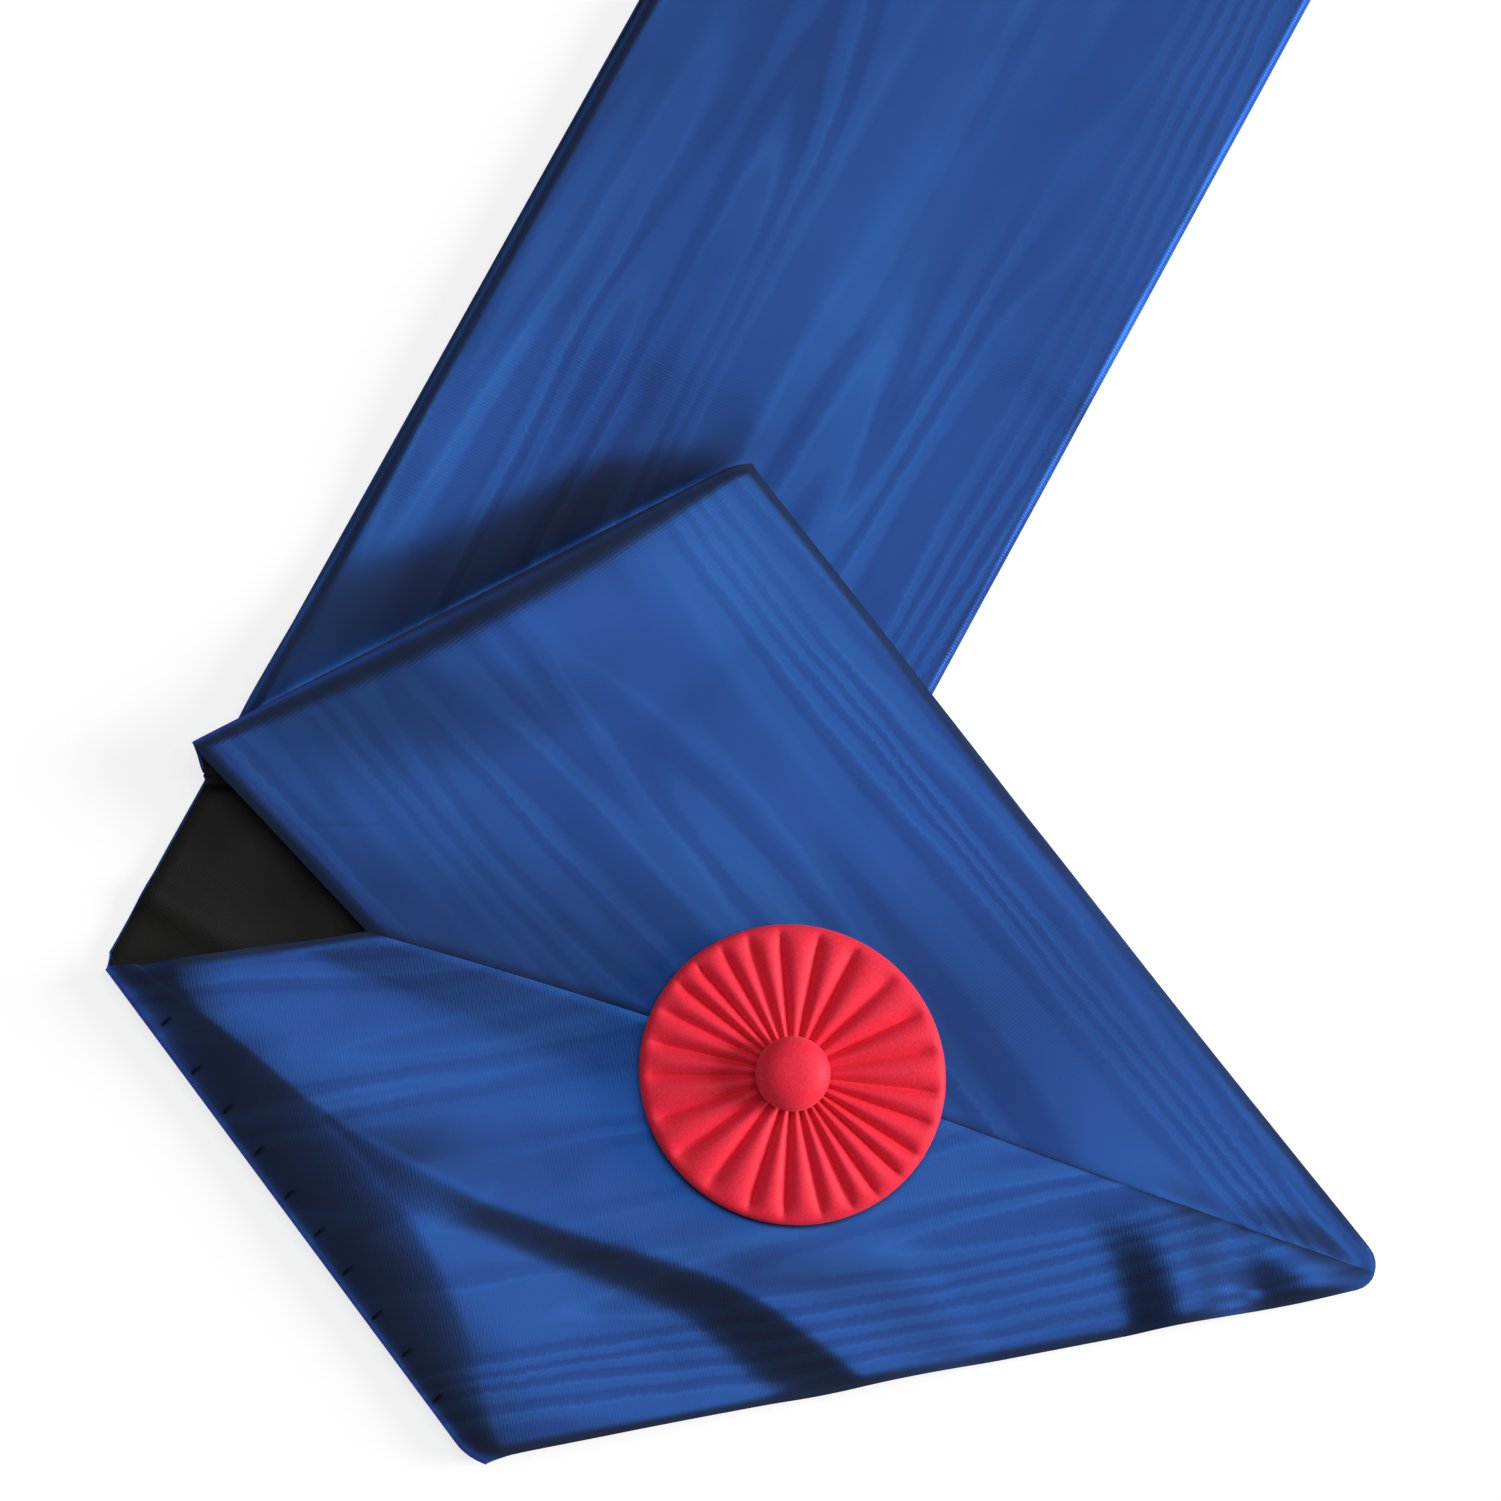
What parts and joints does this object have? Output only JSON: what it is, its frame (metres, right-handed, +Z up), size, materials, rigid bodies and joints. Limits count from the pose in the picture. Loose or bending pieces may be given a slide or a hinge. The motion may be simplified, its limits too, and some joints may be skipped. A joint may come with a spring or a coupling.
{
  "type": "masonic sash",
  "caption": "Folded shoulder sash of blue watered ribbon with a black lining, its two ends joined in a mitred tip under a red pleated rosette with a covered button.",
  "frame": {"origin": "middle of the folded sash's bounding box in plan, on the surface that it lies on", "axes": "+Y along the doubled band towards the shoulder end, +X towards the mitred tip, +Z up"},
  "size_m": [0.2146, 0.7924, 0.0153],
  "materials": {
    "moire_ribbon": "watered ribbon with a soft silky gloss",
    "lining": "plain black lining cloth, slightly glossy",
    "rosette_ribbon": "fine ribbed ribbon in pressed knife pleats",
    "button_cover": "fine ribbed ribbon drawn tight over a dome"
  },
  "bodies": {
    "root": {"moire_ribbon": "moire_ribbon", "lining_ribbon": "lining", "rosette_pleats": "rosette_ribbon", "rosette_button": "button_cover"}
  },
  "joints": []
}
